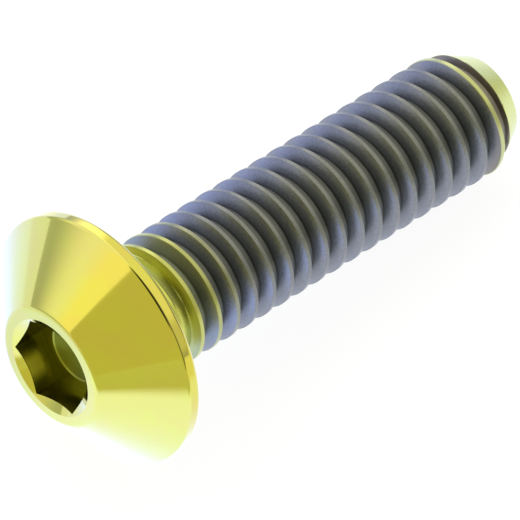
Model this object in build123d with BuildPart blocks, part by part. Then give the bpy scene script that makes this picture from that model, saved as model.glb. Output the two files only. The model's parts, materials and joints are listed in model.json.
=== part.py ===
from build123d import *
from math import asin, atan2, ceil, cos, hypot, radians, sin, tan
import os

# Button head screw, M4 x 0.7 x 15, in millimetres: one piece, turned, broached and thread rolled.
# It is made upright on the Z axis, with the bearing face under its head at z = 0 and its point
# downwards, and is then laid on the floor, where it rests on its rim and its last thread.

# Head
head_diameter = 7.8
head_height = 2.1
crown_diameter = 3.7  # flat ring round the socket, out to where its edge would meet the cone
crown_edge_radius = 0.22
rim_thickness = 0.4  # straight band between the cone and the bearing face
rim_front_radius = 0.1
rim_back_radius = 0.14

# Hexagon socket
key_size = 2.54  # across the flats, for a 2.5 mm key
socket_depth = 1.0
socket_turn = 43.3  # degrees from the top of the lying screw to a corner
mouth_diameter = 3.06  # countersink that breaks the corners of the mouth
mouth_angle = 60.0  # degrees from the axis
drill_diameter = 1.9
drill_angle = 59.0  # degrees from the axis

# Shank
shank_length = 15.0
neck_fillet = 0.2
point_length = 1.05
point_diameter = 2.72

# Thread, right-handed
thread_diameter = 3.84  # over the crests, at the low end of the 6g class
thread_pitch = 0.7
flank_angle = 30.0  # degrees from square to the axis
crest_width = 0.12
root_width = 0.17
last_cut = 0.075  # from the top of the point's cone to the last crest, on the underside
plain_length = 1.0  # shank under the head that the rolls leave plain
runout_length = 1.1  # over which the groove grows to its full depth

head_radius = head_diameter / 2
crown_radius = crown_diameter / 2
mouth_radius = mouth_diameter / 2
drill_radius = drill_diameter / 2
thread_radius = thread_diameter / 2
point_radius = point_diameter / 2
point_top = -shank_length + point_length
flank_slope = tan(radians(flank_angle))
thread_depth = (thread_pitch - crest_width - root_width) / 2 / flank_slope
root_radius = thread_radius - thread_depth

# The ridge between the turns of the groove is swept one turn at a time, and its turns follow each
# other from below the point into the head. It is proud of the crests and sunk in the core, and is
# then trimmed to the thread's diameter.
proud = crest_width / 4
sunk = root_width / 4 / flank_slope
half_top = crest_width / 2 - proud * flank_slope
half_foot = crest_width / 2 + (thread_depth + sunk) * flank_slope
last_crest = point_top - last_cut - crest_width / 2
thread_bottom = last_crest - 2.5 * thread_pitch
thread_height = rim_thickness / 2 - thread_bottom
turns = ceil(thread_height / thread_pitch)
upwards = (Align.CENTER, Align.CENTER, Align.MIN)

with BuildPart() as ridge:
    with BuildLine() as spiral:
        Helix(pitch=thread_pitch, height=thread_pitch, radius=thread_radius)
    with BuildSketch(Plane.XZ):
        with BuildLine():
            Polyline(
                (root_radius - sunk, -half_foot),
                (thread_radius + proud, -half_top),
                (thread_radius + proud, half_top),
                (root_radius - sunk, half_foot),
                close=True,
            )
        make_face()
    sweep(path=spiral.line, is_frenet=True)

with BuildPart() as thread:
    with Locations((0, 0, thread_bottom)):
        Cylinder(root_radius, thread_height, align=upwards)
    with Locations(*[(0, 0, thread_bottom + turn * thread_pitch) for turn in range(turns)]):
        add(ridge.part)
    with Locations((0, 0, thread_bottom)):
        Cylinder(thread_radius, thread_height, align=upwards, mode=Mode.INTERSECT)
    # The point is a cone through the last turns
    with BuildSketch(Plane.XZ):
        with BuildLine():
            Polyline(
                (0, -shank_length),
                (point_radius, -shank_length),
                (point_radius + (thread_radius - point_radius) * shank_length / point_length, 0),
                (0, 0),
                close=True,
            )
        make_face()
    revolve(axis=Axis.Z, mode=Mode.INTERSECT)

with BuildPart() as screw:
    # Head and neck, turned as one profile, with the cone on which the thread's groove runs out
    with BuildSketch(Plane.XZ) as turned:
        with BuildLine():
            Polyline(
                (0, head_height),
                (crown_radius, head_height),
                (head_radius, rim_thickness),
                (head_radius, 0),
                (thread_radius, 0),
                (thread_radius, -plain_length),
                (root_radius, -plain_length - runout_length),
                (0, -plain_length - runout_length),
                close=True,
            )
        make_face()
        for corner, radius in (
            ((crown_radius, head_height), crown_edge_radius),
            ((head_radius, rim_thickness), rim_front_radius),
            ((head_radius, 0), rim_back_radius),
            ((thread_radius, 0), neck_fillet),
        ):
            fillet(turned.vertices().sort_by_distance(corner)[0], radius)
    revolve(axis=Axis.Z)

    # Broached hexagon, its countersunk mouth, and the cone that the drill left below it
    with BuildSketch(Plane.XY.offset(head_height)):
        RegularPolygon(key_size / 2, 6, major_radius=False, rotation=socket_turn)
    extrude(amount=-socket_depth, mode=Mode.SUBTRACT)
    with BuildSketch(Plane.XZ):
        with BuildLine():
            Polyline(
                (0, head_height),
                (mouth_radius, head_height),
                (0, head_height - mouth_radius / tan(radians(mouth_angle))),
                close=True,
            )
        make_face()
    revolve(axis=Axis.Z, mode=Mode.SUBTRACT)
    with BuildSketch(Plane.XZ):
        with BuildLine():
            Polyline(
                (0, head_height - socket_depth),
                (drill_radius, head_height - socket_depth),
                (0, head_height - socket_depth - drill_radius / tan(radians(drill_angle))),
                close=True,
            )
        make_face()
    revolve(axis=Axis.Z, mode=Mode.SUBTRACT)

    add(thread.part)

# Laid down, the screw leans on the round at the back of its rim and on its last crest, which the
# point's cone has cut a little
cut_radius = thread_radius - last_cut * (thread_radius - point_radius) / point_length
rim_reach = last_cut - point_top + rim_back_radius
rim_drop = head_radius - rim_back_radius - cut_radius
lean = atan2(rim_drop, rim_reach) + asin(rim_back_radius / hypot(rim_drop, rim_reach))
leaning = Plane(origin=(0, 0, 0), x_dir=(sin(lean), 0, cos(lean)), z_dir=(-cos(lean), 0, sin(lean)))
footprint = leaning.from_local_coords(screw.part).bounding_box()
seat_centre = Vector(-footprint.center().X, 0, -footprint.min.Z)
resting = Plane(origin=seat_centre, x_dir=leaning.x_dir, z_dir=leaning.z_dir)

os.makedirs("parts", exist_ok=True)
lying_screw = resting.from_local_coords(screw.part)
lying_screw.label = "screw"
export_step(lying_screw, "parts/screw.step")
print("bearing face centre", seat_centre, "axis towards the point", -resting.z_dir)
print("solids", len(lying_screw.solids()), "valid", lying_screw.is_valid, "volume", lying_screw.volume)
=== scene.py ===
import json
from math import atan2, cos, degrees, pi, radians, sin, tan

import bmesh
import bpy
from mathutils import Matrix, Vector


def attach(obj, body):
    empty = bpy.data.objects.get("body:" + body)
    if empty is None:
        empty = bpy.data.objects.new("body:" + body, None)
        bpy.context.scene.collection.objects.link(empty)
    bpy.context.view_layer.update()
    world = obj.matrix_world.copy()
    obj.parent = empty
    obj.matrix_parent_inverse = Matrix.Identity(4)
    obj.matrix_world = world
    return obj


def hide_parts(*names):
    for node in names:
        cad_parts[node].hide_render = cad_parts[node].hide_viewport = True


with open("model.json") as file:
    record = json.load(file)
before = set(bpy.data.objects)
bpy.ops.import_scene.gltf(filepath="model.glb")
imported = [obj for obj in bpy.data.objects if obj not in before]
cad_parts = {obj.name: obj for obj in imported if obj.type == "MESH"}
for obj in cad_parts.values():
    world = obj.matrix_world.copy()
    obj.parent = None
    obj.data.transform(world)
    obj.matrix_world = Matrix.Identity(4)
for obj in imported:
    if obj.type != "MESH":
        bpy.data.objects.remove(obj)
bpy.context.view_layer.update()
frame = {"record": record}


# ---- How the screw lies ---------------------------------------------------------------------
# The screw leans on its rim and on its last crest. Its own axis and the place of its head come
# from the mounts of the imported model. Every part of it is made upright on the Z axis, with the
# bearing face at z = 0 and the point down, and then laid.

mm = 0.001
mounts = {mount["name"]: mount for mount in frame["record"]["mounts"]}
head_height = 2.1 * mm
to_point = Vector(mounts["thread"]["axis"]).normalized()
to_side = Vector((0, 1, 0))
to_top = to_side.cross(-to_point)
crown_centre = Vector(mounts["hex_socket"]["pos_m"])
seat_centre = crown_centre + to_point * head_height
laid_down = Matrix.Translation(seat_centre) @ Matrix((to_top, to_side, -to_point)).transposed().to_4x4()
around = 138  # stations round the axis, in the head and in each turn of the thread


# ---- Head and neck --------------------------------------------------------------------------
# The head is turned from titanium bar: a flat crown round the socket, a straight cone down to a
# thin rim, and a flat bearing face that meets the plain neck in a small fillet.

head_radius = 3.9 * mm
crown_radius = 1.85 * mm
crown_edge_radius = 0.22 * mm
rim_thickness = 0.4 * mm
rim_front_radius = 0.1 * mm
rim_back_radius = 0.14 * mm
neck_fillet = 0.2 * mm
thread_radius = 1.92 * mm  # over the crests, and of the neck
neck_end = -0.5 * mm  # where the turned head meets the rolled shank in the mesh
mouth_radius = 1.53 * mm
socket_turn = radians(43.3)

screw = bmesh.new()


def ring_edges(mesh, radius, height, slack=1e-6):
    """Edges of the turned mesh that lie on one circle round the axis."""
    def on_ring(point):
        return abs(point.co.xy.length - radius) < slack and abs(point.co.z - height) < slack
    return [edge for edge in mesh.edges if all(on_ring(point) for point in edge.verts)]


def round_ring(mesh, radius, height, fillet, turn, segments=6):
    """Rounds the corner on that circle; turn is how much the profile turns there, in radians."""
    bmesh.ops.bevel(
        mesh,
        geom=ring_edges(mesh, radius, height),
        affect="EDGES",
        offset=fillet * tan(turn / 2),
        segments=segments,
        profile=0.5,
        material=-1,
    )


cone_turn = atan2(head_height - rim_thickness, head_radius - crown_radius)
corners = [  # radius, height and how far the corner's fillet reaches along its two sides
    (mouth_radius, head_height, 0),
    (crown_radius, head_height, crown_edge_radius * tan(cone_turn / 2)),
    (head_radius, rim_thickness, rim_front_radius * tan((pi / 2 - cone_turn) / 2)),
    (head_radius, 0, rim_back_radius),
    (thread_radius, 0, neck_fillet),
    (thread_radius, neck_end, 0),
]
holding = 0.02 * mm  # from a fillet to the ring beside it, which keeps the face beyond it true
profile = []
for before, corner, after in zip(corners[:1] + corners, corners, corners[1:] + corners[-1:]):
    here = Vector(corner[:2])
    reach = corner[2] + holding
    if corner[2]:
        profile.append(here + (Vector(before[:2]) - here).normalized() * reach)
    profile.append(here)
    if corner[2]:
        profile.append(here + (Vector(after[:2]) - here).normalized() * reach)
points = [
    screw.verts.new((r * cos(socket_turn), r * sin(socket_turn), z)) for r, z in profile
]
lines = [screw.edges.new(pair) for pair in zip(points, points[1:])]
bmesh.ops.spin(
    screw, geom=points + lines, axis=(0, 0, 1), cent=(0, 0, 0), angle=2 * pi, steps=around, use_merge=True
)
round_ring(screw, crown_radius, head_height, crown_edge_radius, cone_turn)
round_ring(screw, head_radius, rim_thickness, rim_front_radius, pi / 2 - cone_turn)
round_ring(screw, head_radius, 0, rim_back_radius, pi / 2)
round_ring(screw, thread_radius, 0, neck_fillet, pi / 2)


# ---- Hexagon socket -------------------------------------------------------------------------
# The socket is drilled, broached to a hexagon for a 2.5 mm key, and countersunk so that the
# corners of its mouth are broken. The drill leaves a cone in the middle of the floor.

key_size = 2.54 * mm
socket_depth = 1.0 * mm
mouth_slope = tan(radians(60))  # radius over depth
drill_radius = 0.95 * mm
drill_slope = tan(radians(59))


def broached_radius(angle):
    """Distance from the axis to the hexagon's wall, in the direction of the angle."""
    from_flat = (angle - socket_turn) % (pi / 3) - pi / 6
    return key_size / 2 / cos(from_flat)


def drawn_in(mesh, loop, place):
    """Extrudes a loop of edges and puts each new point where place(angle, point) says."""
    made = bmesh.ops.extrude_edge_only(mesh, edges=loop)["geom"]
    for point in (item for item in made if isinstance(item, bmesh.types.BMVert)):
        radius, height = place(atan2(point.co.y, point.co.x), point)
        point.co = Vector((*(point.co.xy.normalized() * radius), height))
    return [item for item in made if isinstance(item, bmesh.types.BMEdge)]


def depth_of_cone(radius):
    return (mouth_radius - radius) / mouth_slope


mouth = ring_edges(screw, mouth_radius, head_height)
wall_top = drawn_in(
    screw, mouth,
    lambda angle, point: (broached_radius(angle), head_height - depth_of_cone(broached_radius(angle))),
)
wall_foot = drawn_in(
    screw, wall_top, lambda angle, point: (point.co.xy.length, head_height - socket_depth)
)
drill_edge = drawn_in(screw, wall_foot, lambda angle, point: (drill_radius, point.co.z))
drill_tip = drawn_in(
    screw, drill_edge, lambda angle, point: (1e-6, point.co.z - drill_radius / drill_slope)
)
bmesh.ops.remove_doubles(screw, verts=list({v for e in drill_tip for v in e.verts}), dist=3e-6)


# ---- Thread and point -----------------------------------------------------------------------
# The M4 x 0.7 thread is rolled, right-handed. Its groove runs out under the head, where the
# rolls leave the neck plain, and a cone turned on the blank leads its last turns in.

shank_length = 15.0 * mm
point_length = 1.05 * mm
point_radius = 1.36 * mm
thread_pitch = 0.7 * mm
crest_width = 0.12 * mm
root_width = 0.17 * mm
flank_slope = tan(radians(30))
last_cut = 0.075 * mm  # from the top of the point's cone to the last crest, on the underside
plain_length = 1.0 * mm
runout_length = 1.1 * mm
turns_below_end = 2.5  # how far the thread's mesh starts below the last crest, and is cut away
strips_per_face = 7  # cuts across each face of the thread, so that it can run out smoothly
cut_height = neck_end - 0.1 * mm  # where the thread's mesh is cut off to meet the neck
end_round = 0.03 * mm
end_round_steps = 4

thread_depth = (thread_pitch - crest_width - root_width) / 2 / flank_slope
root_radius = thread_radius - thread_depth
point_top = -shank_length + point_length
last_crest = point_top - last_cut - crest_width / 2
flank_width = (thread_pitch - crest_width - root_width) / 2

thread = bmesh.new()
lowest = last_crest - turns_below_end * thread_pitch
groove_corners = [
    (root_radius, -root_width / 2),
    (root_radius, root_width / 2),
    (thread_radius, root_width / 2 + flank_width),
    (thread_radius, root_width / 2 + flank_width + crest_width),
    (root_radius, root_width / 2 + 2 * flank_width + crest_width),
]
turn_points = [
    thread.verts.new((r, 0, lowest - thread_pitch / 2 + z)) for r, z in groove_corners
]
turn_lines = [thread.edges.new(pair) for pair in zip(turn_points, turn_points[1:])]
bmesh.ops.subdivide_edges(thread, edges=turn_lines, cuts=strips_per_face)
turns = int((neck_end - lowest) / thread_pitch) + 2
bmesh.ops.spin(
    thread,
    geom=thread.verts[:] + thread.edges[:],
    axis=(0, 0, 1),
    cent=(0, 0, 0),
    dvec=(0, 0, thread_pitch / around),
    angle=2 * pi,
    steps=around,
)
one_turn = thread.verts[:] + thread.edges[:] + thread.faces[:]
for turn in range(1, turns):
    copied = bmesh.ops.duplicate(thread, geom=one_turn)["geom"]
    bmesh.ops.translate(
        thread,
        verts=[item for item in copied if isinstance(item, bmesh.types.BMVert)],
        vec=(0, 0, turn * thread_pitch),
    )
bmesh.ops.remove_doubles(thread, verts=thread.verts, dist=2e-6)

point_slope = (thread_radius - point_radius) / point_length
least_radius = 0.1 * mm  # keeps what lies below the end, and is cut away, off the axis
for vert in thread.verts:
    radius, height = vert.co.xy.length, vert.co.z
    groove_floor = thread_radius - thread_depth * (-plain_length - height) / runout_length
    radius = max(radius, min(groove_floor, thread_radius))
    radius = min(radius, point_radius + point_slope * (height + shank_length))
    vert.co.xy = vert.co.xy.normalized() * max(radius, least_radius)

for height, down in ((cut_height, False), (-shank_length + end_round, True)):
    bmesh.ops.bisect_plane(
        thread,
        geom=thread.verts[:] + thread.edges[:] + thread.faces[:],
        plane_co=(0, 0, height),
        plane_no=(0, 0, 1),
        clear_inner=down,
        clear_outer=not down,
        dist=1e-8,
    )

# The plain top of the thread meets the neck, and the point's end is rounded over and closed
def open_loop(mesh, height):
    """The edges of the mesh's open loop at that height."""
    return [e for e in mesh.edges if e.is_boundary and all(abs(v.co.z - height) < 1e-7 for v in e.verts)]


end_loop = open_loop(thread, -shank_length + end_round)
for step in range(1, end_round_steps + 1):
    share = step / end_round_steps
    turned_in = pi / 2 * share
    end_loop = drawn_in(
        thread, end_loop,
        lambda angle, point: (
            point_radius + (1 - share) * point_slope * end_round - end_round * (1 - cos(turned_in)),
            -shank_length + end_round * (1 - sin(turned_in)),
        ),
    )
bmesh.ops.holes_fill(thread, edges=end_loop, sides=0)
joined = bpy.data.meshes.new("thread")
thread.to_mesh(joined)
thread.free()
screw.from_mesh(joined)
bpy.data.meshes.remove(joined)
neck_loop = open_loop(screw, neck_end)
thread_loop = open_loop(screw, cut_height)
bmesh.ops.bridge_loops(screw, edges=neck_loop + thread_loop)
bmesh.ops.recalc_face_normals(screw, faces=screw.faces)

sharpest_smooth = radians(28)
for face in screw.faces:
    face.smooth = True
for edge in screw.edges:
    edge.smooth = len(edge.link_faces) == 2 and edge.calc_face_angle(0) < sharpest_smooth
screw.transform(laid_down)
body = bpy.data.meshes.new("screw_body")
screw.to_mesh(body)
screw.free()
piece = bpy.data.objects.new("screw_body", body)
bpy.context.scene.collection.objects.link(piece)
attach(piece, "root")
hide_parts("screw")


# ---- Anodised and rolled titanium -----------------------------------------------------------
# The head, the neck and the point are anodised gold over fine turning marks. The thread is
# rolled after anodising, so it is bare grey metal, with gold left on its first and last crests.

finish = bpy.data.materials.new("anodised titanium")
finish.use_nodes = True
nodes = finish.node_tree.nodes
links = finish.node_tree.links
metal = nodes["Principled BSDF"]


def fed(socket, value):
    """Puts a value or another node's output into an input socket."""
    if isinstance(value, bpy.types.NodeSocket):
        socket.id_data.links.new(value, socket)
    else:
        socket.default_value = value


def sums(tree, operation, *values):
    """One step of arithmetic between values or other nodes' outputs."""
    made = tree.nodes.new("ShaderNodeMath")
    made.operation = operation
    for socket, value in zip(made.inputs, values):
        fed(socket, value)
    return made.outputs[0]


def fade(tree, value, start, end):
    """0 at start and 1 at end, smoothly, and flat beyond them."""
    made = tree.nodes.new("ShaderNodeMapRange")
    made.interpolation_type = "SMOOTHSTEP"
    fed(made.inputs["Value"], value)
    made.inputs["From Min"].default_value = min(start, end)
    made.inputs["From Max"].default_value = max(start, end)
    made.inputs["To Min"].default_value = float(start > end)
    made.inputs["To Max"].default_value = float(start < end)
    return made.outputs["Result"]


def blend(tree, share, first, second):
    """The first colour where share is 0, the second where it is 1."""
    made = tree.nodes.new("ShaderNodeMix")
    made.data_type = "RGBA"
    for name, value in (("Factor_Float", share), ("A_Color", first), ("B_Color", second)):
        socket = next(item for item in made.inputs if item.identifier == name)
        fed(socket, (*value, 1) if isinstance(value, tuple) else value)
    return next(item for item in made.outputs if item.identifier == "Result_Color")


def noise(tree, place, scale, detail):
    made = tree.nodes.new("ShaderNodeTexNoise")
    tree.links.new(place, made.inputs["Vector"])
    made.inputs["Scale"].default_value = scale
    made.inputs["Detail"].default_value = detail
    return made.outputs["Fac"]


tree = finish.node_tree
coordinates = nodes.new("ShaderNodeTexCoord")
upright = nodes.new("ShaderNodeMapping")  # from where it lies to upright on Z, in millimetres
upright.vector_type = "POINT"
back_up = laid_down.inverted()
upright.inputs["Location"].default_value = back_up.to_translation() / mm
upright.inputs["Rotation"].default_value = back_up.to_euler()
upright.inputs["Scale"].default_value = (1 / mm, 1 / mm, 1 / mm)
links.new(coordinates.outputs["Object"], upright.inputs["Vector"])
axes = nodes.new("ShaderNodeSeparateXYZ")
links.new(upright.outputs["Vector"], axes.inputs[0])
x, y, height = axes.outputs
radius = sums(tree, "SQRT", sums(tree, "ADD", sums(tree, "MULTIPLY", x, x), sums(tree, "MULTIPLY", y, y)))

# Turning marks are noise that runs round the axis: it changes with the radius and the height
rings = nodes.new("ShaderNodeCombineXYZ")
fed(rings.inputs[0], sums(tree, "MULTIPLY", radius, 9.0))
fed(rings.inputs[2], sums(tree, "MULTIPLY", height, 9.0))
turning = noise(tree, rings.outputs[0], 1.0, 4.0)
mottle = noise(tree, upright.outputs["Vector"], 0.9, 2.0)
grain = noise(tree, upright.outputs["Vector"], 14.0, 4.0)

# Gold over the turned head, a little uneven
gold = blend(tree, fade(tree, mottle, 0.35, 0.65), (0.61, 0.555, 0.05), (0.62, 0.525, 0.06))

# Painted shade: the grooves are darker than the flanks above them, most of all at their root, where the
# groove shades itself
core, over = root_radius / mm, thread_radius / mm
spots = fade(tree, grain, 0.35, 0.65)
crest = blend(tree, spots, (0.19, 0.19, 0.17), (0.222, 0.222, 0.198))
flank_top = blend(tree, spots, (0.212, 0.216, 0.218), (0.246, 0.25, 0.252))
groove = blend(tree, spots, (0.168, 0.174, 0.175), (0.196, 0.202, 0.203))
grey = blend(tree, fade(tree, radius, core + 0.1, over - 0.02), groove, flank_top)
grey = blend(tree, fade(tree, radius, over - 0.02, over - 0.004), grey, crest)
# painted shade, darkest at the root of the groove
grey = blend(tree, fade(tree, radius, core + 0.09, core + 0.01), grey, (0.12, 0.122, 0.11))

# The last groove is brownish, and the first turns still have a greenish tint
grey = blend(tree, fade(tree, height, -13.65, -13.9), grey, (0.22, 0.195, 0.155))
greenish = sums(tree, "MULTIPLY", fade(tree, height, -3.2, -1.8), 0.5)
grey = blend(tree, greenish, grey, (0.25, 0.27, 0.13))

# Gold is left under the head, on the first and last crests, on the point's cone and on its end
on_crest = sums(tree, "MULTIPLY", fade(tree, radius, over - 0.03, over - 0.006), 0.7)
under_head = fade(tree, height, -2.3, -1.4)
first_crests = sums(tree, "MULTIPLY", on_crest, fade(tree, height, -4.0, -1.8))
last_crest_line = sums(tree, "MULTIPLY", on_crest, fade(tree, height, -13.3, -13.6))
from_end = sums(tree, "ADD", height, shank_length / mm)
cone = sums(tree, "ADD", sums(tree, "MULTIPLY", from_end, point_slope), point_radius / mm)
on_cone = fade(tree, sums(tree, "SUBTRACT", cone, radius), 0.02, 0.005)
near_point = sums(tree, "MAXIMUM", last_crest_line, on_cone)
near_point = sums(tree, "MAXIMUM", near_point, fade(tree, height, -14.9, -14.96))
gilt = sums(tree, "MAXIMUM", sums(tree, "MAXIMUM", under_head, first_crests), near_point)

# The socket is duller, and its colour is painted shade: darker inside, darkest on the drill cone, the flat
# floor a little lighter, and one wall painted paler and matt as painted light from the mouth
mouth = sums(tree, "MULTIPLY", sums(tree, "SUBTRACT", mouth_radius / mm, radius), 1 / mouth_slope)
below_mouth = sums(tree, "SUBTRACT", sums(tree, "SUBTRACT", head_height / mm, mouth), height)
in_mouth = fade(tree, radius, mouth_radius / mm - 0.01, mouth_radius / mm - 0.03)
in_socket = sums(tree, "MULTIPLY", in_mouth, fade(tree, below_mouth, 0.005, 0.03))
floor_height = (head_height - socket_depth) / mm
turned_to = sums(tree, "MULTIPLY", sums(tree, "ARCTAN2", y, x), degrees(1))
painted_lit_wall = sums(tree, "MULTIPLY", fade(tree, turned_to, 108, 128), fade(tree, turned_to, 162, 138))
off_floor = fade(tree, height, floor_height + 0.1, floor_height + 0.4)
painted_lit_wall = sums(tree, "MULTIPLY", painted_lit_wall, off_floor)
painted_lit_wall = sums(tree, "MULTIPLY", painted_lit_wall, in_socket)
flat_floor = fade(tree, height, floor_height + 0.03, floor_height + 0.005)
drilled = fade(tree, height, floor_height - 0.01, floor_height - 0.04)
socket_shade = blend(tree, painted_lit_wall, (0.24, 0.225, 0.016), (0.9, 0.8, 0.05))
socket_shade = blend(tree, flat_floor, socket_shade, (0.28, 0.27, 0.03))
socket_shade = blend(tree, drilled, socket_shade, (0.12, 0.12, 0.008))
gold = blend(tree, in_socket, gold, socket_shade)

# On the rolled shank the gold is greener and less shiny than on the turned head, and paler
# still at the point
on_shank = fade(tree, height, -0.8, -1.2)
gold = blend(tree, on_shank, gold, (0.58, 0.58, 0.12))
gold = blend(tree, fade(tree, height, -11.0, -13.0), gold, (0.60, 0.615, 0.22))
fed(metal.inputs["Base Color"], blend(tree, gilt, grey, gold))
# painted light: the paler socket wall is made less metallic, so it shows as lit from the mouth
fed(metal.inputs["Metallic"], sums(tree, "SUBTRACT", 1.0, sums(tree, "MULTIPLY", painted_lit_wall, 0.7)))

# Gloss: the turned head is the shiniest, under a thin clear skin that the rest lacks
dull = sums(tree, "MAXIMUM", sums(tree, "MULTIPLY", in_socket, 0.85), on_shank)
gold_roughness = sums(tree, "ADD", 0.05, sums(tree, "MULTIPLY", turning, 0.07))
gold_roughness = sums(tree, "ADD", gold_roughness, sums(tree, "MULTIPLY", dull, 0.18))
roughness = nodes.new("ShaderNodeMix")
fed(roughness.inputs[0], gilt)
fed(roughness.inputs[2], sums(tree, "ADD", 0.26, sums(tree, "MULTIPLY", grain, 0.14)))
fed(roughness.inputs[3], gold_roughness)
fed(metal.inputs["Roughness"], roughness.outputs[0])
bare = sums(tree, "MAXIMUM", in_socket, on_shank)
fed(metal.inputs["Coat Weight"], sums(tree, "MULTIPLY", gilt, sums(tree, "SUBTRACT", 1.0, bare)))
metal.inputs["Coat Roughness"].default_value = 0.03

# Turning marks all over, and the fine pits of the rolled metal where no gold is left
marks = nodes.new("ShaderNodeBump")
marks.inputs["Strength"].default_value = 0.12
marks.inputs["Distance"].default_value = 0.004 * mm
fed(marks.inputs["Height"], turning)
pits = nodes.new("ShaderNodeBump")
pits.inputs["Strength"].default_value = 0.25
pits.inputs["Distance"].default_value = 0.012 * mm
fed(pits.inputs["Height"], sums(tree, "MULTIPLY", grain, sums(tree, "SUBTRACT", 1.0, gilt)))
links.new(marks.outputs["Normal"], pits.inputs["Normal"])
links.new(pits.outputs["Normal"], metal.inputs["Normal"])
body.materials.append(finish)


# ---- Floor ----------------------------------------------------------------------------------
# A pale table that glows. Its glow is painted light, standing in for light thrown back from the table: cool
# and bright below the screw, dimmer and warmer further off. To the camera it is one even white.

table = bmesh.new()
bmesh.ops.create_circle(table, cap_ends=True, radius=2.0, segments=96)
floor_mesh = bpy.data.meshes.new("floor")
table.to_mesh(floor_mesh)
table.free()
floor = bpy.data.objects.new("floor", floor_mesh)
bpy.context.scene.collection.objects.link(floor)

paper = bpy.data.materials.new("lit table")
paper.use_nodes = True
tree = paper.node_tree
glow = tree.nodes["Principled BSDF"]
where = tree.nodes.new("ShaderNodeTexCoord")
off = tree.nodes.new("ShaderNodeVectorMath")
off.operation = "DISTANCE"
off.inputs[1].default_value = (0, 0.006, 0)
tree.links.new(where.outputs["Object"], off.inputs[0])
along = tree.nodes.new("ShaderNodeSeparateXYZ")
tree.links.new(where.outputs["Object"], along.inputs[0])
near = fade(tree, off.outputs["Value"], 0.029, 0.0205)
below_head = fade(tree, along.outputs[0], -0.003, -0.0075)
behind = fade(tree, along.outputs[1], 0.0, 0.004)
far_behind = fade(tree, along.outputs[1], 0.004, 0.015)
in_front = fade(tree, along.outputs[1], -0.0135, -0.0165)
in_front = sums(tree, "MULTIPLY", in_front, fade(tree, along.outputs[0], -0.003, 0.001))
path = tree.nodes.new("ShaderNodeLightPath")
cool = blend(tree, behind, (1.24, 1.50, 2.65), (1.02, 1.25, 2.3))
below = blend(tree, below_head, (1.13, 1.20, 1.45), cool)
further = blend(tree, far_behind, (0.66, 0.70, 0.40), (0.95, 1.08, 1.9))
further = blend(tree, in_front, further, (1.0, 1.0, 0.66))
# painted light: the glow that the screw sees and reflects, placed round it
painted_bounce_glow = blend(tree, near, further, below)
shown = blend(tree, path.outputs["Is Camera Ray"], painted_bounce_glow, (0.92, 0.92, 0.92))
fed(glow.inputs["Emission Color"], shown)
glow.inputs["Emission Strength"].default_value = 1.0
glow.inputs["Base Color"].default_value = (0.12, 0.12, 0.12, 1)
glow.inputs["Roughness"].default_value = 0.9
floor_mesh.materials.append(paper)


# ---- Studio ---------------------------------------------------------------------------------
# A white tent round the table, warm behind the camera and cool elsewhere, with windows of light
# that end in sharp edges on the left and far right, a thin dark frame, and the dark of the
# camera's own opening.

world = bpy.data.worlds.new("studio")
bpy.context.scene.world = world
world.use_nodes = True
tree = world.node_tree
direction = tree.nodes.new("ShaderNodeTexCoord").outputs["Generated"]
parts = tree.nodes.new("ShaderNodeSeparateXYZ")
tree.links.new(direction, parts.inputs[0])
turned = sums(tree, "MULTIPLY", sums(tree, "ARCTAN2", parts.outputs[1], parts.outputs[0]), degrees(1))
raised = sums(tree, "MULTIPLY", sums(tree, "ARCSINE", parts.outputs[2]), degrees(1))


def side(light, colour, start, end, foot, top):
    """Lays a patch of light over the tent. start and end are pairs of azimuths to fade between."""
    across = sums(tree, "MULTIPLY", fade(tree, turned, *start), fade(tree, turned, *end))
    share = sums(tree, "MULTIPLY", across, fade(tree, raised, foot, top))
    return blend(tree, share, light, colour)


light = (0.78, 0.78, 0.42)
light = side(light, (0.62, 0.70, 1.0), (-100, -60), (165, 145), -60, -50)
light = side(light, (0.42, 0.44, 0.52), (-110, -75), (20, 0), -60, -50)
light = side(light, (0.85, 0.85, 0.7), (-68, -60), (-40, -48), -2, 8)
light = side(light, (1.2, 1.2, 1.06), (-58, -46), (60, 45), 20, 32)
light = side(light, (0.10, 0.08, 0.03), (-104, -98), (-84, -90), -30, -20)
light = side(light, (1.32, 1.40, 1.9), (60, 75), (170.5, 169.5), 4, 27)
light = side(light, (1.46, 1.41, 1.1), (140, 158), (170.5, 169.5), 15, 28)
light = side(light, (1.9, 1.9, 1.95), (38, 46), (66, 58), 2, 20)
opening_azimuth = radians(-134)
opening_height = radians(57)
opening_flat = cos(opening_height)
to_opening = (opening_flat * cos(opening_azimuth), opening_flat * sin(opening_azimuth), sin(opening_height))
toward = tree.nodes.new("ShaderNodeVectorMath")
toward.operation = "DOT_PRODUCT"
tree.links.new(direction, toward.inputs[0])
toward.inputs[1].default_value = to_opening
opening = fade(tree, toward.outputs["Value"], cos(radians(31)), cos(radians(21)))
light = blend(tree, opening, light, (0.05, 0.05, 0.05))
tree.links.new(light, tree.nodes["Background"].inputs["Color"])


# ---- Camera ---------------------------------------------------------------------------------
# A long lens from above the head, on the left.

lens = bpy.data.cameras.new("camera")
lens.sensor_width = 36.0
lens.lens = 934.6
camera = bpy.data.objects.new("camera", lens)
bpy.context.scene.collection.objects.link(camera)
camera.location = (-0.16452, -0.17229, 0.30104)
looking = Vector((0.4296, 0.4508, -0.7825))
camera.rotation_mode = "QUATERNION"
camera.rotation_quaternion = looking.to_track_quat("-Z", "Y")
bpy.context.scene.camera = camera
bpy.context.scene.view_settings.view_transform = "Standard"
